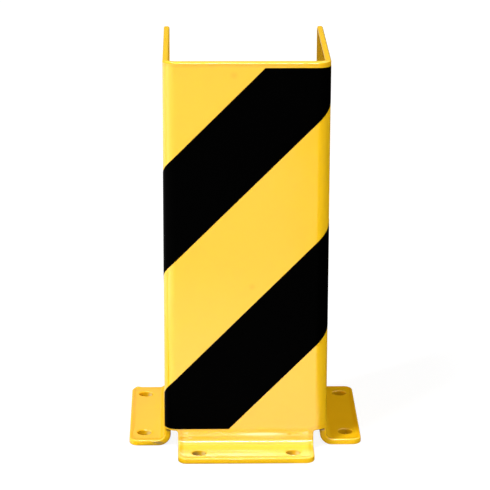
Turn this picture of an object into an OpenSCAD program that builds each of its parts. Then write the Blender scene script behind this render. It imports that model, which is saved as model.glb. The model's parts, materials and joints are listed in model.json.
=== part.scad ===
// Impact protector for the foot of a rack upright: one sheet of steel folded to a
// U, with a tab along the bottom of each side bent outwards as a foot to bolt down.
// Millimetres, +Z up. The web faces -Y, and the open side of the U faces +Y.
// The origin lies on the floor, under the middle of the overall footprint.

/* [Guard] */
// Overall height from the floor to the top edge
guard_h = 400; // [250:1:800]
// Width over the outside of the two side walls
guard_w = 163; // [140:1:400]
// Depth from the outside of the web to the rear edge of the side walls
guard_d = 167; // [110:1:400]

/* [Sheet] */
// Thickness of the steel sheet
sheet_t = 6; // [3:0.5:8]
// Inside radius of every fold
fold_r = 6.5; // [4:0.5:10]
// Radius at the upper rear corner of each side wall
rear_corner_r = 3; // [1:0.5:12]

/* [Feet] */
// Reach of each foot from the outside of its wall to its free edge
foot_reach = 36; // [30:0.5:70]
// Radius of the two free corners of a foot
foot_corner_r = 9; // [2:0.5:14]
// Gap beyond a fold, where the sheet is relieved between two feet
relief_gap = 1; // [0.5:0.5:8]
// Height of the top of the corner relief above the floor
relief_h = 21; // [20:0.5:40]
// Radius inside the upper corners of a relief
relief_corner_r = 3; // [1:0.5:4]

/* [Bolt holes] */
// Diameter of the holes for the floor anchors
bolt_hole_d = 14; // [9:0.5:18]
// Distance from a hole's centre to the free edge of its foot
bolt_edge = 15; // [12:0.5:18]
// Distance between the two holes of the front foot
front_bolt_gap = 94; // [40:1:100]
// Distance between the two holes of a side foot
side_bolt_gap = 110; // [40:1:110]

/* [Warning stripes] */
// Thickness of the black film
film_t = 0.2; // [0.1:0.1:0.5]
// Width of a stripe, measured square to its edges
stripe_w = 75; // [30:1:90]
// Height of the middle of the upper stripe at the middle of the web
upper_stripe_h = 323; // [200:1:360]
// Rise of the upper stripe from the horizontal, in degrees
upper_stripe_tilt = 45.2; // [40:0.1:50]
// Height of the middle of the lower stripe at the middle of the web
lower_stripe_h = 94; // [60:1:150]
// Rise of the lower stripe from the horizontal, in degrees
lower_stripe_tilt = 45.6; // [40:0.1:50]
// Bare border that the film leaves below the top edge
film_top_border = 6; // [2:0.5:20]
// Bare border that the film leaves above the relief
film_bottom_border = 2; // [1:0.5:20]
// Bare border that the film leaves at the rear edges of the side walls
film_rear_border = 4; // [2:0.5:20]
// Height at which a stripe's pointed end is cut blunt
film_tip = 2; // [1:0.5:6]

/* [Hidden] */
$fn = 96;
STEEL_COLOR = [0.96, 0.75, 0.10];
FILM_COLOR = [0.03, 0.03, 0.03];
// Cutting solids run past what they cut by this much
over = 1;
// Flat pieces of a cutter along each fold
fold_steps = 12;

// Outside radius of every fold
outer_r = fold_r + sheet_t;
// The web's outer face, placed so that the footprint is centred on the origin
web_y = -(guard_d - foot_reach) / 2;
// Height at which the vertical sheet runs into the fold of a foot
fold_top = sheet_t + fold_r;
// Distance from the guard's outer faces to the end of a foot's tab
relief_w = outer_r + relief_gap;
// Width of the front tab
front_tab_w = guard_w - 2 * relief_w;
// Length of a side tab
side_tab_w = guard_d - relief_w;
// Half of the web's flat face, and the length of a wall's flat face
web_flat = guard_w / 2 - outer_r;
wall_flat = guard_d - outer_r;

// A rectangle from the origin with its far corner, the one at [w, h], rounded
module one_corner_plate(w, h, r) {
    difference() {
        square([w, h]);
        translate([w - r, h - r]) difference() {
            square(r + over);
            circle(r);
        }
    }
}

// The plan of a channel with rounded outside corners, drawn from its outer face at
// y = 0 and running off to the rear edge
module channel_plan(w, r, depth) {
    for (side = [-1, 1]) translate([side * (w / 2 - r), r]) circle(r);
    translate([-(w / 2 - r), 0]) square([w - 2 * r, 2 * r]);
    translate([-w / 2, r]) square([w, depth - r]);
}

// The upright sheet of the U, from the top of the feet's folds to the top edge
module upright_sheet() {
    translate([0, 0, fold_top]) linear_extrude(guard_h - fold_top) difference() {
        channel_plan(guard_w, outer_r, guard_d);
        translate([0, sheet_t]) channel_plan(guard_w - 2 * sheet_t, fold_r, guard_d);
    }
}

// What is cut away round one front corner, so that three tabs can fold without
// tearing: seen from the front and from the side it has the same rounded corner
module corner_relief() {
    reach = relief_w + over;
    intersection() {
        translate([guard_w / 2 + over, -over, 0]) rotate([90, 0, 180])
            linear_extrude(reach) one_corner_plate(reach, relief_h, relief_corner_r);
        translate([guard_w / 2 - relief_w - over, -over, 0]) rotate([90, 0, 90])
            linear_extrude(reach + 2 * over) one_corner_plate(reach, relief_h, relief_corner_r);
    }
}

// What is cut away to round the upper rear corners of both side walls
module rear_corners() {
    translate([-guard_w / 2 - over, guard_d - rear_corner_r, guard_h - rear_corner_r])
        rotate([90, 0, 90]) linear_extrude(guard_w + 2 * over) difference() {
            square(rear_corner_r + over);
            circle(rear_corner_r);
        }
}

// A foot for a tab of the given width. It hangs from a wall whose outer face is at
// y = 0, folds away from it towards -Y, and has its two bolt holes
module foot(tab_w, bolt_gap) {
    flat = foot_reach - fold_r;
    translate([-tab_w / 2, -fold_r, fold_top]) rotate([0, 90, 0]) rotate_extrude(angle = 90)
        translate([fold_r, 0]) square([sheet_t, tab_w]);
    difference() {
        translate([0, -fold_r, 0]) linear_extrude(sheet_t) for (side = [0, 1])
            mirror([side, 0]) mirror([0, 1]) one_corner_plate(tab_w / 2, flat, foot_corner_r);
        for (side = [-1, 1]) translate([side * bolt_gap / 2, bolt_edge - foot_reach, -over])
            cylinder(d = bolt_hole_d, h = sheet_t + 2 * over);
    }
}

module folded_profile() {
    color(STEEL_COLOR) translate([0, web_y, 0]) {
        difference() {
            upright_sheet();
            for (side = [0, 1]) mirror([side, 0, 0]) corner_relief();
            rear_corners();
        }
        foot(front_tab_w, front_bolt_gap);
        for (side = [0, 1]) mirror([side, 0, 0])
            translate([guard_w / 2, relief_w + side_tab_w / 2, 0])
                rotate([0, 0, 90]) foot(side_tab_w, side_bolt_gap);
    }
}

// A place on the guard's outer face, lifted off it by "lift": u runs along the face
// from the middle of the web, round a fold and on to the rear edge of a wall
function face_point(u, lift) =
    let (side = sign(u), s = abs(u), arc = outer_r * PI / 2)
    s <= web_flat ? [u, -lift]
    : s <= web_flat + arc ? let (a = (s - web_flat) / outer_r * 180 / PI)
        [side * (web_flat + (outer_r + lift) * sin(a)), outer_r - (outer_r + lift) * cos(a)]
    : [side * (guard_w / 2 + lift), outer_r + s - web_flat - arc];

// Distances u at which a cutter along the face changes direction on one side
function fold_stations() =
    [for (i = [0 : fold_steps]) web_flat + outer_r * PI / 2 * i / fold_steps];

// A band across the unrolled face, thick enough to cut the film from the skin. At
// the middle of the web its middle is at height mid, and it rises with the tilt
module slanted_band(mid, tilt) {
    rise = tan(tilt);
    half = stripe_w / 2 / cos(tilt);
    low = relief_h + film_bottom_border;
    high = guard_h - film_top_border;
    rear = web_flat + outer_r * PI / 2 + wall_flat - film_rear_border;
    // Where the band's pointed ends are cut blunt
    start = max(-rear, (low + film_tip - mid - half) / rise);
    end = min(rear, (high - film_tip - mid + half) / rise);
    corners = [(low - mid + half) / rise, (high - mid - half) / rise, (low - mid - half) / rise,
               (high - mid + half) / rise];
    inner = [for (u = concat(fold_stations(), -fold_stations(), corners))
             if (u > start && u < end) u];
    stations = sorted(concat([start, end], inner));
    rows = [for (u = stations) let (
                a = face_point(u, -over), b = face_point(u, over),
                z0 = max(low, mid - half + rise * u), z1 = min(high, mid + half + rise * u))
            each [[a[0], a[1], z0], [b[0], b[1], z0], [b[0], b[1], z1], [a[0], a[1], z1]]];
    last = len(stations) - 1;
    sides = [for (i = [0 : last - 1], k = [0 : 3]) let (n = (k + 1) % 4, p = 4 * i)
             each [[p + k, p + n, p + 4 + k], [p + n, p + 4 + n, p + 4 + k]]];
    polyhedron(rows, concat(sides, [[3, 2, 1, 0]], [[for (k = [0 : 3]) 4 * last + k]]));
}

// A list of numbers in rising order
function sorted(v) = len(v) <= 1 ? v :
    let (pivot = v[floor(len(v) / 2)])
    concat(sorted([for (x = v) if (x < pivot) x]), [for (x = v) if (x == pivot) x],
           sorted([for (x = v) if (x > pivot) x]));

// One stripe of film: the band, cut from a skin over the guard's outer face
module film_stripe(mid, tilt) {
    color(FILM_COLOR) translate([0, web_y, 0]) intersection() {
        translate([0, 0, relief_h]) linear_extrude(guard_h - relief_h) difference() {
            translate([0, -film_t])
                channel_plan(guard_w + 2 * film_t, outer_r + film_t, guard_d + film_t);
            channel_plan(guard_w, outer_r, guard_d + over);
        }
        slanted_band(mid, tilt);
    }
}

module upper_stripe() {
    film_stripe(upper_stripe_h, upper_stripe_tilt);
}

module lower_stripe() {
    film_stripe(lower_stripe_h, lower_stripe_tilt);
}

folded_profile();
upper_stripe();
lower_stripe();
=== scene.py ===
"""Looks of a folded steel impact protector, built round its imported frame.

The guard is one sheet folded to a U, with three tabs bent outwards as feet and two
stripes of black film across its outer face. Every surface is worked out on the
blank, which is the outer face rolled out flat, and one formula folds the blank to
its place. Lengths are metres, +Z is up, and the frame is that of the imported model.
"""

import json
import logging
import math
from dataclasses import dataclass, field
from enum import Enum
from typing import Any

import bpy
import numpy as np
from bpy.types import ID, Material, Mesh, Node, NodeSocket, Object, World
from mathutils import Matrix, Vector
from mathutils.geometry import delaunay_2d_cdt
from numpy.typing import NDArray

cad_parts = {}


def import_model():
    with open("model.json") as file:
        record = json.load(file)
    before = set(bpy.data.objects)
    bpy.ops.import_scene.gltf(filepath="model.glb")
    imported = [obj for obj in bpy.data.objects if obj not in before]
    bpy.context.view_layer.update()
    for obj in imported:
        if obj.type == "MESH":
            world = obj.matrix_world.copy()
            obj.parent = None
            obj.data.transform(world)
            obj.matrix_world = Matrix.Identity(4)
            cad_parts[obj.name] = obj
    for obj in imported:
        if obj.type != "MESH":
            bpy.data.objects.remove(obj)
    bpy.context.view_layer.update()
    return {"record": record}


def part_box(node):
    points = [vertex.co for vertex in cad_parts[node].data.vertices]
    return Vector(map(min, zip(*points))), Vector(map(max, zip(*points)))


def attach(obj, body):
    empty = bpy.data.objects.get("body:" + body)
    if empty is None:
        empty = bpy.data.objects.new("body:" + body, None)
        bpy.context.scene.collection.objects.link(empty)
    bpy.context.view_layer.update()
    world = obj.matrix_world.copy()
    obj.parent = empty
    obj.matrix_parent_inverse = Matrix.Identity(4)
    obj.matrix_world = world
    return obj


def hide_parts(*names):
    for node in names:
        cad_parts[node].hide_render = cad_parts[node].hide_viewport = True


LOG = logging.getLogger("impact_protector")
ROOT_BODY = "root"
MM = 0.001
QUARTER = math.pi / 2
TINY = 1e-9
# Points of a mesh keep at least this far from one another
CLEAR = 0.3 * MM

Array = NDArray[np.float64]
Indices = NDArray[np.int64]
Point = tuple[float, float, float]
Color = tuple[float, float, float, float]
# Where a smooth change starts and stops, and the values before and after it
Ramp = tuple[float, float, float, float]
# Lumps of a noise in a metre, octaves of finer lumps, and the finer lumps' share
Grain = tuple[float, float, float]

WHITE: Color = (1.0, 1.0, 1.0, 1.0)
BLACK: Color = (0.0, 0.0, 0.0, 1.0)


class Slot(Enum):
    """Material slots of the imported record."""

    COAT = "yellow_coat"
    FILM = "black_film"


class Packed(Enum):
    """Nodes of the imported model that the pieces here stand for."""

    SHEET = "folded_profile"
    UPPER_FILM = "upper_stripe"
    LOWER_FILM = "lower_stripe"


@dataclass(frozen=True)
class Sheet:
    """Sizes of the folded sheet, and the formula that folds its blank.

    On the blank, u runs along the outer face from the middle of the web, round a
    fold and on to the rear edge of a wall. v runs up the face, and is the height
    above the floor as far as the face stands upright. w is the depth into the sheet.
    """

    height: float
    half_width: float
    web_y: float
    rear_y: float
    thickness: float = 6 * MM
    fold_radius: float = 6.5 * MM
    foot_reach: float = 36 * MM
    foot_corner: float = 9 * MM
    rear_corner: float = 3 * MM
    relief_gap: float = 1 * MM
    relief_height: float = 21 * MM
    relief_corner: float = 3 * MM
    turn_steps: int = 20

    @classmethod
    def from_frame(cls) -> "Sheet":
        """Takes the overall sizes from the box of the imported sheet."""
        low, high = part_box(Packed.SHEET.value)
        reach = cls.foot_reach
        return cls(height=high.z, half_width=high.x - reach, web_y=low.y + reach, rear_y=high.y)

    @property
    def outer_radius(self) -> float:
        """Outside radius of every fold, and the v at which the feet's folds start."""
        return self.fold_radius + self.thickness

    @property
    def web_flat(self) -> float:
        """Half of the web's flat face."""
        return self.half_width - self.outer_radius

    @property
    def wall_start(self) -> float:
        """The u at which a wall's flat face starts, past the fold."""
        return self.web_flat + self.outer_radius * QUARTER

    @property
    def rear_edge(self) -> float:
        """The u of a wall's rear edge."""
        return self.wall_start + self.rear_y - self.web_y - self.outer_radius

    @property
    def bend_end(self) -> float:
        """The v at which a foot's fold runs into its flat top."""
        return self.outer_radius - self.fold_radius * QUARTER

    @property
    def foot_edge(self) -> float:
        """The v of a foot's free edge."""
        return self.bend_end - (self.foot_reach - self.fold_radius)

    @property
    def front_tab(self) -> float:
        """Half width of the front foot's tab."""
        return self.web_flat - self.relief_gap

    @property
    def side_tab(self) -> float:
        """The u at which the tab of a side foot starts."""
        return self.wall_start + self.relief_gap

    def fold(self, u: Array, v: Array, w: Array) -> tuple[Array, Array]:
        """Folds points of the blank to their place.

        In plan, the face runs straight, round a quarter circle of the outer radius
        and straight on. In section, it comes down upright, turns outwards round a
        quarter circle of the fold radius and runs out flat. A depth w moves a point
        against the face's own normal.

        Args:
            u: Distance along the face from the middle of the web.
            v: Distance up the face.
            w: Depth into the sheet.

        Returns:
            The points, and for each of them the directions of u, v and w, divided by
            their stretches as the inverse of the fold's Jacobian asks for normals.
        """
        side = np.where(u < 0, -1.0, 1.0)
        reach = np.abs(u)
        turn = np.clip((reach - self.web_flat) / self.outer_radius, 0, QUARTER)
        past = np.maximum(reach - self.wall_start, 0)
        x = side * (np.minimum(reach, self.web_flat) + self.outer_radius * np.sin(turn))
        y = self.web_y + self.outer_radius * (1 - np.cos(turn)) + past
        flat = np.zeros_like(u)
        outward = np.stack([side * np.sin(turn), -np.cos(turn), flat], axis=1)
        along_u = np.stack([np.cos(turn), side * np.sin(turn), flat], axis=1)

        bend = np.clip((self.outer_radius - v) / self.fold_radius, 0, QUARTER)
        radius = self.fold_radius + w
        out = self.fold_radius - radius * np.cos(bend) + np.maximum(self.bend_end - v, 0)
        z = np.maximum(v, self.outer_radius) - radius * np.sin(bend)
        up = np.array([0.0, 0.0, 1.0])
        along_v = -np.sin(bend)[:, None] * outward + np.cos(bend)[:, None] * up
        along_w = -np.cos(bend)[:, None] * outward - np.sin(bend)[:, None] * up

        points = np.stack([x, y, z], axis=1) + out[:, None] * outward
        in_fold = (turn > 0) & (turn < QUARTER)
        in_bend = (bend > 0) & (bend < QUARTER)
        stretch_u = np.where(in_fold, 1 + out / self.outer_radius, 1.0)[:, None]
        stretch_v = np.where(in_bend, radius / self.fold_radius, 1.0)[:, None]
        return points, np.stack([along_u / stretch_u, along_v / stretch_v, along_w], axis=1)

    def guides(self, coarse: float, bend_steps: int) -> tuple[Array, Array]:
        """Lines of constant u and of constant v that a mesh of the blank follows.

        Args:
            coarse: Widest step on flat stretches.
            bend_steps: Steps round each foot's fold.

        Returns:
            Rising values of u, and rising values of v.
        """
        half = [
            chain(0, self.web_flat, coarse),
            np.linspace(self.web_flat, self.wall_start, self.turn_steps + 1),
            chain(self.wall_start, self.rear_edge, coarse),
        ]
        rows = [
            chain(self.foot_edge, self.bend_end, coarse),
            np.linspace(self.bend_end, self.outer_radius, bend_steps + 1),
            chain(self.outer_radius, self.height, coarse),
        ]
        half = np.concatenate(half)
        return np.unique(np.append(-half, half)), np.unique(np.concatenate(rows))


def chain(first: float, last: float, widest: float) -> Array:
    """Even steps from the first value to the last, none wider than the widest."""
    steps = max(1, math.ceil((last - first) / widest - TINY))
    return np.linspace(first, last, steps + 1)


@dataclass(frozen=True)
class Corner:
    """A corner of an outline on the blank, the radius that rounds it, and its arris."""

    u: float
    v: float
    radius: float
    arris: float


@dataclass(frozen=True)
class Loop:
    """A closed line on the blank, with the sheet on its left-hand side.

    The arris is the radius that rounds the cut edge at each point.
    """

    points: Array
    outward: Array
    arris: Array

    @classmethod
    def circle(cls, u: float, v: float, radius: float, arris: float, steps: int) -> "Loop":
        """A hole's edge: a circle run clockwise, so that the sheet lies on its left."""
        angle = -2 * math.pi * np.arange(steps) / steps
        ray = np.stack([np.cos(angle), np.sin(angle)], axis=1)
        return cls(np.array([u, v]) + radius * ray, -ray, np.full(steps, arris))

    @classmethod
    def rounded(cls, corners: list[Corner], guides: tuple[Array, Array], steps: int) -> "Loop":
        """An outline of straight stretches joined by arcs.

        An arc of radius r that turns by an angle a starts r tan(a / 2) before its
        corner. From its centre, its points lie at r along the outward normal, which
        turns evenly, or against it in a hollow corner. Straight stretches have a
        point on every guide line that they cross, and their arris runs evenly from
        one corner's to the next.

        Args:
            corners: Corners in order, with the sheet on the left.
            guides: Values of u and of v with a guide line.
            steps: Steps round each arc.

        Returns:
            The outline as one closed loop.
        """
        places = np.array([[c.u, c.v] for c in corners])
        radii = np.array([c.radius for c in corners])
        leave = np.roll(places, -1, axis=0) - places
        leave /= np.linalg.norm(leave, axis=1, keepdims=True)
        arrive = np.roll(leave, 1, axis=0)
        cross = arrive[:, 0] * leave[:, 1] - arrive[:, 1] * leave[:, 0]
        turn = np.arctan2(cross, np.sum(arrive * leave, axis=1))
        cut = (radii * np.tan(np.abs(turn) / 2))[:, None]
        starts = places - cut * arrive
        ends = places + cut * leave
        points, outward, arris = [], [], []
        for i, corner in enumerate(corners):
            angles = turn[i] * np.linspace(0, 1, steps + 1)
            first = np.array([arrive[i, 1], -arrive[i, 0]])
            cos, sin = np.cos(angles), np.sin(angles)
            ray = np.stack([first[0] * cos - first[1] * sin, first[0] * sin + first[1] * cos], 1)
            bulge = math.copysign(corner.radius, turn[i])
            after = (i + 1) % len(corners)
            share = guide_shares(ends[i], starts[after], guides)
            straight = ends[i] + share[:, None] * (starts[after] - ends[i])
            points += [starts[i] + bulge * (ray - first), straight]
            outward += [ray, np.repeat(ray[-1:], len(share), axis=0)]
            change = corners[after].arris - corner.arris
            arris += [np.full(steps + 1, corner.arris), corner.arris + share * change]
        return cls(np.concatenate(points), np.concatenate(outward), np.concatenate(arris))


def guide_shares(start: Array, end: Array, guides: tuple[Array, Array]) -> Array:
    """Where a straight stretch crosses the guide lines, as shares of its length.

    Args:
        start: First end, as u and v.
        end: Last end, as u and v.
        guides: Values of u and of v with a guide line.

    Returns:
        The shares in order, clear of the ends and of one another.
    """
    run = end - start
    clear = CLEAR / float(np.linalg.norm(run))
    shares = [np.zeros(1)]
    for axis, lines in enumerate(guides):
        if abs(run[axis]) > TINY:
            shares.append((lines - start[axis]) / run[axis])
    share = np.unique(np.concatenate(shares))
    share = share[(share > clear) & (share < 1 - clear)]
    return share[np.diff(share, prepend=-1) > clear]


@dataclass(frozen=True)
class EdgeSection:
    """Section through a cut edge, from the outer face round to the inner one.

    The arris on each face is an arc. Where the coat has drawn together beside it,
    the surface rises in a low swell before it turns down over the arris.
    """

    depth: float
    start: float = 0.0
    band: float = 2.95 * MM
    swell: float = 0.1
    fade: float = 2.1
    band_steps: int = 6
    arc_steps: int = 8
    face_steps: int = 3

    def half(self, arris: Array) -> tuple[Array, Array]:
        """Half of the section at each point of a loop.

        A straight stretch, a quarter circle and half of the edge's face are put end
        to end, and each point is lifted along its normal by a swell that is highest
        where the quarter circle starts. At the distance t from there it is
        swell * c * exp(-(t / c) ** 2), where c is the straight stretch over fade.

        Args:
            arris: Radius of the arris at each point of the loop.

        Returns:
            Inset from the edge, and depth from the outer face, one row a point.
        """
        arris = arris[:, None]
        rows = np.ones_like(arris)
        straight = self.band + (arris - self.band) * np.linspace(0, 1, self.band_steps + 1)[:-1]
        angle = rows * np.linspace(0, QUARTER, self.arc_steps + 1)
        rest = (self.depth - self.start) / 2 - arris
        face = rest * np.linspace(0, 1, self.face_steps + 1)[1:]
        inset = np.hstack([straight, arris * (1 - np.sin(angle)), 0 * face])
        depth = np.hstack([0 * straight, arris * (1 - np.cos(angle)), arris + face])
        slant = np.hstack([0 * straight, angle, 0 * face + QUARTER])
        run = np.hstack([arris - straight, arris * angle, arris * QUARTER + face])
        width = (self.band - arris) / self.fade
        lift = self.swell * width * np.exp(-((run / width) ** 2))
        lift[:, 0] = 0.0
        return inset - lift * np.sin(slant), self.start + depth - lift * np.cos(slant)

    def whole(self, arris: Array) -> tuple[Array, Array, Array, Array]:
        """The section and its normals at each point of a loop.

        Args:
            arris: Radius of the arris at each point of the loop.

        Returns:
            Inset, depth, and the normal's parts outwards along the blank and along
            the depth, which are the section's own tangent turned by a right angle.
        """
        inset, depth = self.half(arris)
        inset = np.hstack([inset, inset[:, -2::-1]])
        depth = np.hstack([depth, self.start + self.depth - depth[:, -2::-1]])
        d_inset, d_depth = np.gradient(inset, axis=1), np.gradient(depth, axis=1)
        d_depth[:, [0, -1]] = 0.0
        size = np.hypot(d_inset, d_depth)
        return inset, depth, d_depth / size, d_inset / size


@dataclass(frozen=True)
class Lump:
    """A low round lump of coat on the outer face: height * exp(-(r / radius) ** 2)."""

    u: float
    v: float
    radius: float
    height: float
    spread: float = 2.0
    line_count: int = 9

    def lines(self) -> tuple[Array, Array]:
        """Lines of u and of v through the lump, close enough to show its form."""
        steps = self.radius * np.linspace(-self.spread, self.spread, self.line_count)
        return self.u + steps, self.v + steps

    def rise(self, flat: Array) -> tuple[Array, Array]:
        """The lump's height at points of the blank, and its slope along u and v."""
        rel = flat - np.array([self.u, self.v])
        height = self.height * np.exp(-np.sum(rel * rel, axis=1) / self.radius**2)
        return height, -2 * rel / self.radius**2 * height[:, None]


@dataclass
class Plate:
    """A thin plate on the blank, folded to its place as one closed shell.

    A section is carried along every edge of the plate, the first of which is its
    outline. The two faces between the edges are filled with triangles that follow
    the guide lines. A lump raises the outer face in full and the cut edge by the
    share of the depth that is left.
    """

    sheet: Sheet
    loops: list[Loop]
    section: EdgeSection
    guides: tuple[Array, Array]
    lump: Lump | None = None
    far: float = 20 * MM

    def place(self, flat: Array, depth: Array, out: Array, deep: Array) -> tuple[Array, Array]:
        """Folds points of the blank to their place, raised by the lump.

        Args:
            flat: Their u and v.
            depth: Their depth from the outer face.
            out: The parts of their normals along u and v.
            deep: The part of their normals along the depth.

        Returns:
            The points and their unit normals.
        """
        if self.lump is not None:
            height, slope = self.lump.rise(flat)
            share = np.clip(1 - depth / self.section.depth, 0, 1)
            depth, out = depth - share * height, out - share[:, None] * slope
        points, directions = self.sheet.fold(flat[:, 0], flat[:, 1], depth)
        normals = np.einsum("ij,ijk->ik", np.column_stack([out, deep]), directions)
        return points, normals / np.linalg.norm(normals, axis=1, keepdims=True)

    def mesh(self, name: str) -> Mesh:
        """Builds the plate.

        Args:
            name: Name of the mesh.

        Returns:
            A closed mesh with exact normals and the attribute edge_distance, which
            is each point's distance from the outline, and far round the holes.
        """
        line = np.concatenate([loop.points for loop in self.loops])[:, None, :]
        outward = np.concatenate([loop.outward for loop in self.loops])[:, None, :]
        arris = np.concatenate([loop.arris for loop in self.loops])
        inset, depth, side, deep = self.section.whole(arris)
        rings, count = inset.shape
        flat = (line - inset[..., None] * outward).reshape(-1, 2)
        out = (side[..., None] * outward).reshape(-1, 2)
        parts = [self.place(flat, depth.ravel(), out, deep.ravel())]

        inner, triangles = self.fill()
        level = np.ones(len(inner))
        fills = []
        for face, (start, facing) in enumerate(((self.section.start, -1), (self.section.depth, 1))):
            parts.append(self.place(inner, start * level, 0 * inner, facing * level))
            rim = np.arange(rings) * count + face * (count - 1)
            within = rings * count + face * len(inner) + np.arange(len(inner))
            fills.append(np.append(rim, within)[triangles][:, ::-facing])
        points, normals = (np.concatenate(rows) for rows in zip(*parts, strict=True))
        faces = [*self.edge_quads(count).tolist(), *np.concatenate(fills).tolist()]
        mesh = mesh_from_arrays(name, points, faces, normals)

        outline = self.loops[0].points
        at_edges = np.full_like(inset, self.far)
        at_edges[: len(outline)] = np.maximum(inset[: len(outline)], 0)
        past = np.minimum(gap_to(inner, outline), self.far)
        distance = np.concatenate([at_edges.ravel(), past, past])
        attribute = mesh.attributes.new("edge_distance", "FLOAT", "POINT")
        attribute.data.foreach_set("value", distance.astype(np.float32))
        return mesh

    def rings(self) -> list[Indices]:
        """The numbers of each loop's points, counted on from loop to loop."""
        lengths = [len(loop.points) for loop in self.loops]
        return np.split(np.arange(sum(lengths)), np.cumsum(lengths)[:-1])

    def edge_quads(self, count: int) -> Indices:
        """Quads of the sections carried along the loops, each loop closed on itself."""
        quads = []
        for ring in self.rings():
            here = ring[:, None] * count + np.arange(count - 1)
            after = np.roll(here, -1, axis=0)
            quads.append(np.stack([here, here + 1, after + 1, after], axis=-1).reshape(-1, 4))
        return np.concatenate(quads)

    def fill(self) -> tuple[Array, Indices]:
        """Fills the plate inside the bands along its edges.

        The points are the crossings of the guide lines that lie on the plate, clear
        of the bands. The triangles are the Delaunay triangulation that keeps the
        inner lines of the bands as edges.

        Returns:
            The points inside, and triangles that count the loops' points first.
        """
        lines = [loop.points - self.section.band * loop.outward for loop in self.loops]
        grid = np.stack(np.meshgrid(*self.guides, indexing="ij"), axis=-1).reshape(-1, 2)
        keep = inside(grid, lines[0])
        for line in lines[1:]:
            keep &= ~inside(grid, line)
        grid = grid[keep]
        grid = grid[np.min([gap_to(grid, line) for line in lines], axis=0) > CLEAR]
        rings = self.rings()
        edges = np.concatenate([np.stack([ring, np.roll(ring, -1)], axis=1) for ring in rings])
        rims = [ring.tolist() for ring in rings]
        points = np.concatenate([*lines, grid])
        with_holes, merge_within = 2, 1e-5
        result = delaunay_2d_cdt(
            (points / MM).tolist(), edges.tolist(), rims, with_holes, merge_within
        )
        if len(result[0]) != len(points):
            raise ValueError("the triangulation has added or merged points")
        return grid, np.array([list(face) for face in result[2]], dtype=np.int64)


def inside(points: Array, ring: Array) -> NDArray[np.bool_]:
    """Which points lie in a closed ring, by the count of edges that a ray to +u crosses."""
    after = np.roll(ring, -1, axis=0)
    u, v = points[:, :1], points[:, 1:]
    crosses = (ring[:, 1] > v) != (after[:, 1] > v)
    rise = np.where(ring[:, 1] == after[:, 1], 1.0, after[:, 1] - ring[:, 1])
    at = ring[:, 0] + (v - ring[:, 1]) * ((after[:, 0] - ring[:, 0]) / rise)
    return np.sum(crosses & (u < at), axis=1) % 2 == 1


def gap_to(points: Array, ring: Array) -> Array:
    """Distance from each point to the nearest edge of a closed ring."""
    run = np.roll(ring, -1, axis=0) - ring
    size = np.maximum(np.sum(run * run, axis=1), TINY**2)
    away = points[:, None, :] - ring
    share = np.clip(np.sum(away * run, axis=2) / size, 0, 1)
    return np.min(np.linalg.norm(away - share[..., None] * run, axis=2), axis=1)


def mesh_from_arrays(name: str, points: Array, faces: list[list[int]], normals: Array) -> Mesh:
    """Makes a smooth mesh with the given normals.

    Args:
        name: Name of the mesh.
        points: One row for each vertex.
        faces: The vertex numbers of each face.
        normals: One unit normal for each vertex.

    Returns:
        The mesh.
    """
    mesh = bpy.data.meshes.new(name)
    mesh.from_pydata(points.tolist(), [], faces)
    if mesh.validate():
        raise ValueError(f"{name} had faulty faces")
    mesh.shade_smooth()
    mesh.normals_split_custom_set_from_vertices(normals.astype(np.float32))
    return mesh


def add_object(name: str, data: ID | None) -> Object:
    """Adds an object to the scene."""
    item = bpy.data.objects.new(name, data)
    bpy.context.scene.collection.objects.link(item)
    return item


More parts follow.
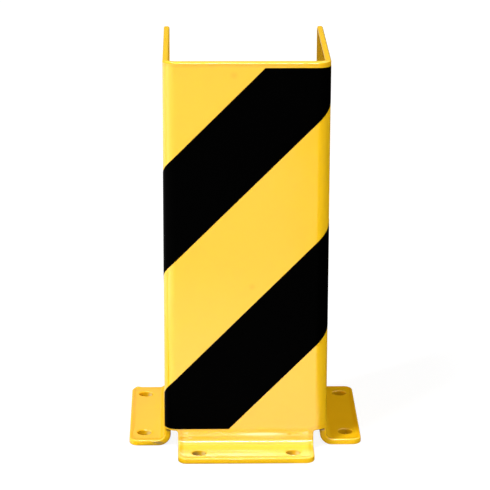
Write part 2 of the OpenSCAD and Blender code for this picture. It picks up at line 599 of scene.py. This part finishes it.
class Nodes:
    """A node tree, with short calls that add and link its nodes."""

    def __init__(self, owner: Material | World) -> None:
        """Takes up the tree of a material or a world."""
        owner.use_nodes = True
        self.tree = owner.node_tree

    def find(self, kind: str) -> Node:
        """The tree's first node of a type."""
        return next(node for node in self.tree.nodes if node.type == kind)

    def add(self, kind: str, output: int | str = 0, **settings: Any) -> NodeSocket:
        """Adds a node.

        Args:
            kind: The node's type, without the word ShaderNode.
            output: Which output to hand back.
            **settings: Properties of the node in lower case. Inputs are given as
                the dictionary "inputs", from name or number to a value or a socket.

        Returns:
            The chosen output.
        """
        node = self.tree.nodes.new("ShaderNode" + kind)
        inputs = settings.pop("inputs", {})
        for key, value in settings.items():
            setattr(node, key, value)
        for key, value in inputs.items():
            self.feed(node.inputs[key], value)
        return node.outputs[output]

    def feed(self, socket: NodeSocket, value: Any) -> None:
        """Links a socket, or sets its value where no socket is given."""
        if isinstance(value, NodeSocket):
            self.tree.links.new(value, socket)
        else:
            socket.default_value = value

    def math(self, operation: str, value: Any, *others: Any, clamp: bool = False) -> NodeSocket:
        """Adds a Math node, and one more for each value past the second."""
        for other in others or (0.0,):
            inputs = {0: value, 1: other}
            value = self.add("Math", operation=operation, use_clamp=clamp, inputs=inputs)
        return value

    def axes(self, vector: NodeSocket) -> list[NodeSocket]:
        """The three parts of a vector."""
        part = self.add("SeparateXYZ", inputs={0: vector})
        return list(part.node.outputs)

    def seen_by(self, ray: str) -> NodeSocket:
        """1 for one kind of ray, and 0 for the others."""
        return self.add("LightPath", f"Is {ray} Ray")

    def seen(self) -> NodeSocket:
        """1 for rays of the camera, also through clear things, and 0 for the others."""
        return self.math("MAXIMUM", self.seen_by("Camera"), self.seen_by("Transmission"))

    def span(self, value: Any, low: float, high: float, to_low: Any, to_high: Any) -> NodeSocket:
        """Maps a range to another smoothly, without leaving it."""
        values = {"Value": value, 1: low, 2: high, 3: to_low, 4: to_high}
        return self.add("MapRange", interpolation_type="SMOOTHSTEP", inputs=values)

    def window(self, *ramps: tuple[NodeSocket, Ramp]) -> NodeSocket:
        """The product of smooth changes, each along a value of its own."""
        return self.math("MULTIPLY", *(self.span(value, *ramp) for value, ramp in ramps))

    def mix(self, share: Any, first: Any, second: Any) -> NodeSocket:
        """Mixes two values by a share."""
        return self.add("Mix", 0, inputs={0: share, 2: first, 3: second})

    def blend(self, share: Any, first: Any, second: Any) -> NodeSocket:
        """Mixes two colours by a share."""
        return self.add("Mix", 2, data_type="RGBA", inputs={0: share, 6: first, 7: second})


@dataclass(frozen=True)
class Spot:
    """A soft spot of another tone, with its middle and its radius in millimetres.

    The stretch is how many times longer it is along each axis. The strength is the
    tone's share in the middle, and a gain above 1 widens the part that has it.
    """

    tone: Color
    middle: Point
    radius: float
    stretch: Point = (1, 1, 1)
    strength: float = 1.0
    gain: float = 1.0
    broken: bool = False


class Recipe(Nodes):
    """A material under construction, with a Principled shader."""

    def __init__(self, name: str) -> None:
        """Starts an empty material.

        Args:
            name: Name of the material.
        """
        self.material: Material = bpy.data.materials.new(name)
        super().__init__(self.material)
        self.shader = self.find("BSDF_PRINCIPLED")

    def set(self, **values: Any) -> None:
        """Feeds the Principled shader's inputs; an underscore stands for a space."""
        for key, value in values.items():
            self.feed(self.shader.inputs[key.replace("_", " ")], value)

    def place(self) -> NodeSocket:
        """The point's place in the object's own coordinates, in metres."""
        return self.add("TexCoord", "Object")

    def noise(self, grain: Grain) -> NodeSocket:
        """Noise in the object's own coordinates, from 0 to 1."""
        scale, detail, rough = grain
        values = {"Vector": self.place(), "Scale": scale, "Detail": detail, "Roughness": rough}
        return self.add("TexNoise", inputs=values)

    def share(self, spot: Spot) -> NodeSocket:
        """A spot's share of the colour.

        It falls smoothly from 1 in the middle to 0 at the radius, and is multiplied
        by the gain, held to 1 and multiplied by the strength.

        Args:
            spot: The spot.

        Returns:
            The share at each point.
        """
        away = self.place()
        middle = tuple(part * MM for part in spot.middle)
        for operation, operand in (("SUBTRACT", middle), ("DIVIDE", spot.stretch)):
            inputs = {0: away, 1: operand}
            away = self.add("VectorMath", operation=operation, inputs=inputs)
        gap = self.add("VectorMath", "Value", operation="LENGTH", inputs={0: away})
        near = self.span(gap, 0.0, spot.radius * MM, 1.0, 0.0)
        full = self.math("MULTIPLY", near, spot.gain, clamp=True)
        return self.math("MULTIPLY", full, spot.strength)

    def bump(self, height: Any, strength: float, distance: float, **under: Any) -> NodeSocket:
        """A Bump node: a height from 0 to 1, its strength, and the distance of 1."""
        values = {"Height": height, "Strength": strength, "Distance": distance, **under}
        return self.add("Bump", inputs=values)


@dataclass(frozen=True)
class PowderCoat:
    """Glossy yellow powder coat on steel, with a faint orange peel.

    Along the outline it stands in a thick rim, with a painted line of deeper tone
    inside it, which is painted shade. It is painted paler, as painted light, on the
    front foot and the web just above, and is thicker below the tops of the feet's
    folds and thinner towards the front foot's free edge. Ramps whose names have no
    axis run with the distance from the outline, or with a noise.
    """

    name: str = "yellow_powder_coat"
    tone: Color = (0.93, 0.542, 0.007, 1.0)
    deep_tone: Color = (0.92, 0.532, 0.006, 1.0)
    # Painted shade: the line inside the rim, the two dimples and the streak's end
    painted_shade_tone: Color = (0.87, 0.455, 0.004, 1.0)
    # Painted light on the front foot and on the web just above it
    painted_light_tone: Color = (0.95, 0.66, 0.09, 1.0)
    # Painted highlight: the streak above the front foot, the haze below it and the lit sides of the
    # holes
    painted_highlight_tone: Color = (0.98, 0.85, 0.42, 1.0)
    # A real scuff on the left-hand foot's edge, and stains with painted shade in the front foot's
    # holes
    scuff_and_shade_tone: Color = (0.30, 0.22, 0.13, 1.0)
    # Painted shadow under the ends of the upright folds
    painted_shadow_tone: Color = (0.16, 0.08, 0.01, 1.0)
    ior: float = 1.6
    clouds: Grain = (9.0, 3.0, 0.5)
    cloud_share: Ramp = (0.35, 0.7, 0.0, 1.0)
    sheen: Grain = (55.0, 3.0, 0.5)
    roughness: Ramp = (0.3, 0.7, 0.105, 0.135)
    peel: Grain = (420.0, 2.0, 0.45)
    peel_strength: float = 0.35
    peel_height: float = 0.035 * MM
    painted_light_y: Ramp = (-66 * MM, -64 * MM, 0.62, 0.0)
    painted_light_from_z: Ramp = (5.2 * MM, 5.9 * MM, 0.0, 1.0)
    painted_light_to_z: Ramp = (17 * MM, 29 * MM, 1.0, 0.0)
    # Where the painted shade line lies inside the rim
    shade_line_from: Ramp = (1.3 * MM, 2.4 * MM, 0.0, 1.0)
    shade_line_to: Ramp = (3.5 * MM, 6.5 * MM, 0.8, 0.0)
    rim_height_z: Ramp = (8 * MM, 12 * MM, 0.26, 0.12)
    rim_reach: tuple[float, float] = (1.5 * MM, 6.5 * MM)
    thick_z: Ramp = (14.7 * MM, 17.5 * MM, 0.16, 0.0)
    thin_y: Ramp = (-95.5 * MM, -85.5 * MM, 0.0, 0.35)
    swells: Grain = (30.0, 1.0, 0.5)
    swell_share: Ramp = (0.3, 0.7, 0.8, 1.2)
    breaks: Grain = (900.0, 2.0, 0.5)
    break_share: Ramp = (0.35, 0.55, 0.3, 1.0)
    # Spots of painted light, shade and shadow, with a real scuff and stains
    marks_and_painted_light: tuple[Spot, ...] = (
        # Painted shade of two shallow dimples in the web
        Spot(painted_shade_tone, (-12.5, -65.5, 386.8), 5.5, strength=0.9),
        Spot(painted_shade_tone, (5.6, -65.5, 173.1), 5.0, strength=0.9),
        # A painted highlight in a streak above the front foot, a fainter painted highlight below it
        # and a spot of painted shade at its end
        Spot(painted_highlight_tone, (16, -65.5, 17.4), 3.2, (11, 1, 0.75), strength=0.75, gain=1.6),
        Spot(painted_highlight_tone, (22, -65.5, 14), 4, (13, 1, 0.9), strength=0.22),
        Spot(painted_shade_tone, (44, -65.5, 17.2), 2.6, (1.4, 1, 0.8)),
        # Dark brown stains with painted shade in the front foot's holes
        Spot(scuff_and_shade_tone, (-50, -83, 2.4), 7, (1, 1, 0.5)),
        Spot(scuff_and_shade_tone, (44, -83, 2.4), 7, (1, 1, 0.5), strength=0.5),
        # Painted light on the sides of the holes that the lamps light
        Spot(painted_highlight_tone, (-97, 84.5, 2), 5.2, strength=0.8),
        Spot(painted_highlight_tone, (-97, -25.5, 2), 5.2, strength=0.8),
        Spot(painted_highlight_tone, (-41.5, -81.5, 2), 5.2, strength=0.8),
        Spot(painted_highlight_tone, (52.5, -81.5, 2), 5.2, strength=0.8),
        # A broken scuff on the front cut edge of the left-hand foot
        Spot(scuff_and_shade_tone, (-88, -52, 3.2), 4, (2.2, 1, 0.6), broken=True),
        # Painted shadow under the ends of the upright folds
        Spot(painted_shadow_tone, (-77, -52, 17.2), 2.8, (2, 1.5, 1)),
        Spot(painted_shadow_tone, (77, -52, 17.2), 2.8, (2, 1.5, 1)),
    )

    def build(self) -> Material:
        """Builds the material from Object coordinates and the edge_distance attribute."""
        recipe = Recipe(self.name)
        _, y, z = recipe.axes(recipe.place())
        distance = recipe.add("Attribute", "Fac", attribute_name="edge_distance")
        cloud = recipe.span(recipe.noise(self.clouds), *self.cloud_share)
        # Painted light: the front foot and the web just above it are painted paler
        pale = recipe.window((y, self.painted_light_y), (z, self.painted_light_from_z), (z, self.painted_light_to_z))
        # Painted shade: a line of deeper tone inside the rim
        line = recipe.window((distance, self.shade_line_from), (distance, self.shade_line_to))
        tone = recipe.blend(cloud, self.tone, self.deep_tone)
        tone = recipe.blend(pale, tone, self.painted_light_tone)
        tone = recipe.blend(line, tone, self.painted_shade_tone)
        breaks = recipe.span(recipe.noise(self.breaks), *self.break_share)
        for mark in self.marks_and_painted_light:
            share = recipe.share(mark)
            if mark.broken:
                share = recipe.math("MULTIPLY", share, breaks)
            tone = recipe.blend(share, tone, mark.tone)

        thickness = recipe.math("ADD", recipe.span(z, *self.thick_z), recipe.span(y, *self.thin_y))
        swell = recipe.span(recipe.noise(self.swells), *self.swell_share)
        rim = recipe.span(distance, *self.rim_reach, recipe.span(z, *self.rim_height_z), 0.0)
        height = recipe.math("ADD", recipe.math("MULTIPLY", thickness, swell), rim)
        peel = recipe.bump(recipe.noise(self.peel), self.peel_strength, self.peel_height)
        recipe.set(
            Base_Color=tone,
            Roughness=recipe.span(recipe.noise(self.sheen), *self.roughness),
            Normal=recipe.bump(height, 1.0, MM, Normal=peel),
            IOR=self.ior,
            Specular_IOR_Level=0.5,
        )
        return recipe.material


@dataclass(frozen=True)
class BlackFilm:
    """Smooth, dull black film with a faint ripple from the coat beneath it."""

    name: str = "black_stripe_film"
    tone: Color = (0.0003, 0.0003, 0.0003, 1.0)
    ior: float = 1.45
    specular: float = 0.005
    sheen: Grain = (40.0, 3.0, 0.5)
    roughness: Ramp = (0.3, 0.7, 0.32, 0.42)
    ripple: Grain = (300.0, 2.0, 0.45)
    ripple_strength: float = 0.3
    ripple_height: float = 0.02 * MM

    def build(self) -> Material:
        """Builds the material from Object coordinates."""
        recipe = Recipe(self.name)
        ripple = recipe.noise(self.ripple)
        recipe.set(
            Base_Color=self.tone,
            Roughness=recipe.span(recipe.noise(self.sheen), *self.roughness),
            Normal=recipe.bump(ripple, self.ripple_strength, self.ripple_height),
            IOR=self.ior,
            Specular_IOR_Level=self.specular,
        )
        return recipe.material


@dataclass
class CoatedProfile:
    """The folded steel sheet with its coat: web, two walls and three feet in one."""

    sheet: Sheet
    mounts: list[dict[str, Any]]
    coarse: float = 7 * MM
    bend_steps: int = 12
    corner_steps: int = 14
    hole_steps: int = 56
    arris: float = 1.4 * MM
    top_arris: float = 2.0 * MM
    hole_arris: float = 1.0 * MM
    lump_from_rear: float = 1.2 * MM
    lump_from_edge: float = 5.2 * MM
    lump_radius: float = 3.0 * MM
    lump_height: float = 1.0 * MM
    coat: PowderCoat = field(default_factory=PowderCoat)

    def corners(self) -> list[Corner]:
        """The blank's corners in order: up the right-hand half, and down the left."""
        s = self.sheet
        half = [
            Corner(s.front_tab, s.foot_edge, s.foot_corner, self.arris),
            Corner(s.front_tab, s.relief_height, s.relief_corner, self.arris),
            Corner(s.side_tab, s.relief_height, s.relief_corner, self.arris),
            Corner(s.side_tab, s.foot_edge, s.foot_corner, self.arris),
            Corner(s.rear_edge, s.foot_edge, s.foot_corner, self.arris),
            Corner(s.rear_edge, s.height, s.rear_corner, self.top_arris),
        ]
        return half + [Corner(-c.u, c.v, c.radius, c.arris) for c in reversed(half)]

    def holes(self) -> list[Loop]:
        """Edges of the bolt holes, from the record's bolt patterns.

        A hole's place on the floor is rolled back onto the blank: its distance out
        from the wall becomes v, and its distance along the wall becomes u.
        """
        s = self.sheet
        loops = []
        for mount in self.mounts:
            if mount["kind"] != "bolt_pattern":
                continue
            (x, y, _), dims = mount["pos_m"], mount["dims"]
            in_front = "spacing_x_mm" in dims
            spacing = dims["spacing_x_mm" if in_front else "spacing_y_mm"] * MM
            out = s.web_y - y if in_front else abs(x) - s.half_width
            v = s.bend_end - (out - s.fold_radius)
            for side in (-0.5, 0.5):
                along = y + side * spacing - s.web_y - s.outer_radius
                u = side * spacing if in_front else math.copysign(s.wall_start + along, x)
                radius = dims["hole_r_mm"] * MM
                loops.append(Loop.circle(u, v, radius, self.hole_arris, self.hole_steps))
        return loops

    def build(self) -> Object:
        """Builds and dresses the sheet, with a lump at the left foot's rear outer corner."""
        s = self.sheet
        u, v = self.lump_from_rear - s.rear_edge, s.foot_edge + self.lump_from_edge
        lump = Lump(u, v, self.lump_radius, self.lump_height)
        lines = s.guides(self.coarse, self.bend_steps)
        guides = tuple(
            np.union1d(rows, more[(more > rows[0]) & (more < rows[-1])])
            for rows, more in zip(lines, lump.lines(), strict=True)
        )
        outline = Loop.rounded(self.corners(), guides, self.corner_steps)
        section = EdgeSection(depth=s.thickness)
        mesh = Plate(s, [outline, *self.holes()], section, guides, lump).mesh("coated_profile")
        mesh.materials.append(self.coat.build())
        return add_piece(mesh, Packed.SHEET)


@dataclass
class FilmStripe:
    """One stripe of black film: a straight band on the blank, trimmed to a border.

    Its outer face stands off the coat and its inner face lies in the coat, so that
    no light gets between them.
    """

    sheet: Sheet
    node: Packed
    middle: float
    tilt: float
    width: float = 75 * MM
    top_border: float = 6 * MM
    bottom_border: float = 2 * MM
    rear_border: float = 4 * MM
    corner: float = 0.5 * MM
    arris: float = 0.06 * MM
    coarse: float = 8 * MM
    corner_steps: int = 4
    section: EdgeSection = EdgeSection(
        start=-0.14 * MM,
        depth=0.02 * MM,
        band=0.2 * MM,
        swell=0.0,
        band_steps=1,
        arc_steps=3,
        face_steps=1,
    )

    def corners(self) -> list[Corner]:
        """The band between its two slanted edges, cut by the four borders.

        The slanted edges lie half the width, measured square to the band, from the
        line of height middle + u tan(tilt). Each border then takes away the corners
        beyond it, and puts a new one wherever an edge crosses it.
        """
        s = self.sheet
        rise = math.tan(self.tilt)
        half = self.width / 2 / math.cos(self.tilt)
        u = 2 * s.rear_edge * np.array([-1, 1, 1, -1])
        ring = np.stack([u, self.middle + rise * u + half * np.array([-1, -1, 1, 1])], axis=1)
        rear = s.rear_edge - self.rear_border
        low = s.relief_height + self.bottom_border
        high = s.height - self.top_border
        for axis, limit, sign in ((0, -rear, 1), (0, rear, -1), (1, low, 1), (1, high, -1)):
            inward = sign * (ring[:, axis] - limit)
            after, inward_after = np.roll(ring, -1, axis=0), np.roll(inward, -1)
            kept = inward > 0
            crosses = kept != (inward_after > 0)
            drop = np.where(crosses, inward - inward_after, 1.0)
            crossing = ring + (inward / drop)[:, None] * (after - ring)
            ring = np.stack([ring, crossing], axis=1)[np.stack([kept, crosses], axis=1)]
        return [Corner(u, v, self.corner, self.arris) for u, v in ring.tolist()]

    def build(self, finish: Material) -> Object:
        """Builds the stripe.

        Args:
            finish: Material of the film.

        Returns:
            The stripe, lying on the coat.
        """
        guides = self.sheet.guides(self.coarse, bend_steps=1)
        outline = Loop.rounded(self.corners(), guides, self.corner_steps)
        plate = Plate(self.sheet, [outline], self.section, guides)
        mesh = plate.mesh(f"{self.node.value}_film")
        mesh.materials.append(finish)
        return add_piece(mesh, self.node)


def add_piece(mesh: Mesh, node: Packed) -> Object:
    """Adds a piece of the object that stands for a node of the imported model.

    Args:
        mesh: The piece's mesh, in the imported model's frame.
        node: The node that the piece stands for.

    Returns:
        The piece.
    """
    piece = add_object(mesh.name, mesh)
    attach(piece, ROOT_BODY)
    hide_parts(node.value)
    LOG.info("%s: %d faces, stands for %s", piece.name, len(mesh.polygons), node.value)
    return piece


@dataclass(frozen=True)
class Camera:
    """The photograph's camera: its place, its turn and its lens."""

    place: Point = (-0.0554, -2.32289, 0.91724)
    yaw: float = math.radians(1.370)
    pitch: float = math.radians(17.242)
    roll: float = math.radians(0.2006)
    sensor: float = 36.0
    focal_pixels: float = 2411.14
    frame_pixels: float = 490.0

    def build(self) -> None:
        """Adds the camera, turned by its yaw, its pitch down and its roll."""
        data = bpy.data.cameras.new("camera")
        data.sensor_width = self.sensor
        data.lens = self.focal_pixels * self.sensor / self.frame_pixels
        camera = add_object("camera", data)
        turn = (
            Matrix.Rotation(-self.yaw, 4, "Z")
            @ Matrix.Rotation(QUARTER - self.pitch, 4, "X")
            @ Matrix.Rotation(self.roll, 4, "Z")
        )
        camera.matrix_world = Matrix.Translation(self.place) @ turn
        bpy.context.scene.camera = camera


@dataclass(frozen=True)
class Lamp:
    """A rectangular soft light that looks at a point."""

    name: str
    place: Point
    target: Point
    width: float
    height: float
    radiance: float
    mirrored_only: bool = False

    def build(self) -> None:
        """Adds the lamp; its power is the radiance times pi times its area."""
        data = bpy.data.lights.new(self.name, "AREA")
        data.shape = "RECTANGLE"
        data.size, data.size_y = self.width, self.height
        data.energy = self.radiance * math.pi * self.width * self.height
        lamp = add_object(self.name, data)
        turn = (Vector(self.target) - Vector(self.place)).to_track_quat("-Z", "Y")
        lamp.matrix_world = Matrix.Translation(self.place) @ turn.to_matrix().to_4x4()
        lamp.visible_camera = False
        lamp.visible_diffuse = not self.mirrored_only


@dataclass(frozen=True)
class Surroundings:
    """Light from all sides: white to the camera, even and dim to everything else.

    Behind the guard it is dimmer. Reflections find it middling there and warm near
    the horizon, and elsewhere bright high up and dark below. Ramps run along an
    axis of the unit vector that points there.
    """

    ambient: float = 0.25
    ambient_behind: float = 0.1
    behind_y: Ramp = (0.6, 0.85, 0.0, 1.0)
    mirrored_behind_z: Ramp = (0.25, 0.34, 0.4, 0.45)
    mirrored_z: Ramp = (0.35, 0.6, 0.05, 1.1)
    warm_tone: Color = (1.0, 0.8, 0.25, 1.0)

    def build(self) -> None:
        """Makes the world."""
        world = bpy.data.worlds.new("studio")
        nodes = Nodes(world)
        _, y, z = nodes.axes(nodes.add("TexCoord", "Generated"))
        behind = nodes.span(y, *self.behind_y)
        low = nodes.span(z, *self.mirrored_behind_z)
        high = nodes.span(z, *self.mirrored_z)
        mirrored = nodes.seen_by("Glossy")
        light = nodes.mix(behind, self.ambient, self.ambient_behind)
        light = nodes.mix(mirrored, light, nodes.mix(behind, high, low))
        warm = nodes.math("MULTIPLY", behind, mirrored)
        warm = nodes.span(z, *self.mirrored_behind_z[:2], warm, 0.0)
        background = nodes.find("BACKGROUND")
        nodes.feed(background.inputs["Color"], nodes.blend(warm, WHITE, self.warm_tone))
        nodes.feed(background.inputs["Strength"], nodes.mix(nodes.seen(), light, 1.0))
        bpy.context.scene.world = world


@dataclass(frozen=True)
class Floor:
    """A pale disc that keeps the object's shadow and looks white beyond it.

    It throws back light, but for a dark patch of painted shade under the guard.
    To the camera it is white with a share of its own shading. In reflections it
    glows in front of the guard and to its left, and is dark elsewhere.
    """

    radius: float = 9.0
    steps: int = 96
    bounce: float = 0.8
    # Painted shade: under the guard the floor throws back less light
    patch_bounce: float = 0.1
    shadow_depth: float = 0.15
    white_away: Ramp = (0.15, 0.8, 0.9, 1.0)
    front_y: Ramp = (-0.127, -0.118, 1.0, 0.0)
    front_glow_y: Ramp = (-0.75, -0.25, 1.25, 2.1)
    front_x: Ramp = (0.06, 0.19, 1.0, 0.0)
    left_x: Ramp = (-0.122, -0.117, 1.0, 0.0)
    left_y: Ramp = (-0.07, -0.05, 0.0, 1.0)
    patch_shift_y: Ramp = (-0.056, -0.05, 0.025, 0.0)
    patch_width_y: Ramp = (-0.056, -0.05, 0.075, 0.1175)
    patch_depth: float = 0.107
    patch_edge: tuple[float, float] = (0.92, 1.0)

    def build(self) -> None:
        """Adds the floor."""
        angle = 2 * math.pi * np.arange(self.steps) / self.steps
        ring = self.radius * np.stack([np.cos(angle), np.sin(angle), 0 * angle], axis=1)
        add_stage("floor", ring, self.finish())

    def finish(self) -> Material:
        """Builds the floor's material from Object coordinates.

        The patch ends where the greater of |x + shift| / width and |y| / depth is 1.
        """
        recipe = Recipe("pale_floor")
        x, y = recipe.axes(recipe.place())[:2]
        far_x, far_y = recipe.math("ABSOLUTE", x), recipe.math("ABSOLUTE", y)
        seen, mirrored = recipe.seen(), recipe.seen_by("Glossy")
        in_front = recipe.window((y, self.front_y), (y, self.front_glow_y), (x, self.front_x))
        at_left = recipe.window((x, self.left_x), (y, self.left_y))
        glow = recipe.math("MULTIPLY", mirrored, recipe.math("MAXIMUM", in_front, at_left))
        shifted = recipe.math("ADD", x, recipe.span(y, *self.patch_shift_y))
        width = recipe.span(y, *self.patch_width_y)
        off_patch = recipe.math(
            "MAXIMUM",
            recipe.math("DIVIDE", recipe.math("ABSOLUTE", shifted), width),
            recipe.math("DIVIDE", far_y, self.patch_depth),
        )
        bounce = recipe.span(off_patch, *self.patch_edge, self.patch_bounce, self.bounce)
        white = recipe.span(recipe.math("MAXIMUM", far_x, far_y), *self.white_away)
        recipe.set(
            Base_Color=recipe.mix(seen, recipe.mix(mirrored, bounce, 0.0), self.shadow_depth),
            Roughness=0.9,
            Specular_IOR_Level=0.0,
            Emission_Color=WHITE,
            Emission_Strength=recipe.mix(seen, glow, white),
        )
        return recipe.material


@dataclass(frozen=True)
class Card:
    """An upright card behind the guard, which only reflections show."""

    name: str
    glow: Color
    left: float
    right: float
    bottom: float
    top: float = 0.34
    behind: float = 0.5

    def build(self) -> None:
        """Adds the card, hidden from the camera, from shadows and from diffuse light."""
        recipe = Recipe(self.name)
        recipe.set(
            Base_Color=BLACK,
            Specular_IOR_Level=0.0,
            Emission_Color=self.glow,
            Emission_Strength=1.0,
        )
        x = [self.left, self.right, self.right, self.left]
        z = [self.bottom, self.bottom, self.top, self.top]
        corners = np.stack([x, np.full(len(x), self.behind), z], axis=1)
        card = add_stage(self.name, corners, recipe.material)
        card.visible_camera = card.visible_shadow = card.visible_diffuse = False


@dataclass(frozen=True)
class Studio:
    """A white floor and background, soft lamps, and cards for the reflections.

    The black card lies in the mirror image of the right-hand foot, the amber one in
    that of its edges, and the two yellow ones in those of the walls' inner faces.
    """

    lamps: tuple[Lamp, ...] = (
        Lamp("key", (-1.29, -1.37, 3.22), (0.0, 0.0, 0.15), 0.7, 0.7, 78.2),
        Lamp("front", (0.04, -3.0, 1.535), (0.0, 0.0, 0.05), 1.0, 0.36, 13.0),
        Lamp("glint", (0.04, -2.98, 1.525), (0.0, 0.0, 0.05), 1.0, 0.36, 38.0, mirrored_only=True),
        Lamp("right_high", (0.96, 0.0, 2.13), (0.0, 0.0, 0.15), 0.8, 0.8, 6.6),
        Lamp("left_panel", (-0.45, 0.02, 0.18), (0.0, 0.02, 0.18), 0.7, 0.36, 0.6),
        Lamp("left_front_panel", (-0.42, -0.35, 0.18), (0.0, 0.0, 0.15), 0.4, 0.36, 0.4),
    )
    cards: tuple[Card, ...] = (
        Card("black_card", BLACK, 0.09, 0.19, 0.08),
        Card("amber_card", (0.5, 0.3, 0.01, 1.0), 0.19, 0.45, 0.0),
        Card("dim_card", (0.25, 0.13, 0.005, 1.0), -0.02, 0.09, 0.08),
        Card("bright_card", (0.9, 0.52, 0.03, 1.0), -0.09, -0.02, 0.18),
    )

    def build(self) -> None:
        """Adds the world, the floor, the cards and the lamps."""
        for part in (Surroundings(), Floor(), *self.cards, *self.lamps):
            part.build()


def add_stage(name: str, corners: Array, finish: Material) -> Object:
    """Adds a flat piece of the studio.

    Args:
        name: Name of the piece.
        corners: Its corners in order.
        finish: Its material.

    Returns:
        The piece.
    """
    mesh = bpy.data.meshes.new(name)
    mesh.from_pydata(corners.tolist(), [], [list(range(len(corners)))])
    mesh.materials.append(finish)
    piece = add_object(name, mesh)
    return piece


def main() -> None:
    """Builds the guard's pieces, then the studio round them."""
    logging.basicConfig(level=logging.INFO, format="%(message)s")
    bpy.context.scene.view_settings.view_transform = "Standard"
    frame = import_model()
    Camera().build()
    sheet = Sheet.from_frame()
    CoatedProfile(sheet, frame["record"]["mounts"]).build()
    film = BlackFilm().build()
    FilmStripe(sheet, Packed.UPPER_FILM, middle=323 * MM, tilt=math.radians(45.2)).build(film)
    FilmStripe(sheet, Packed.LOWER_FILM, middle=94 * MM, tilt=math.radians(45.6)).build(film)
    Studio().build()


if __name__ == "__main__":
    main()
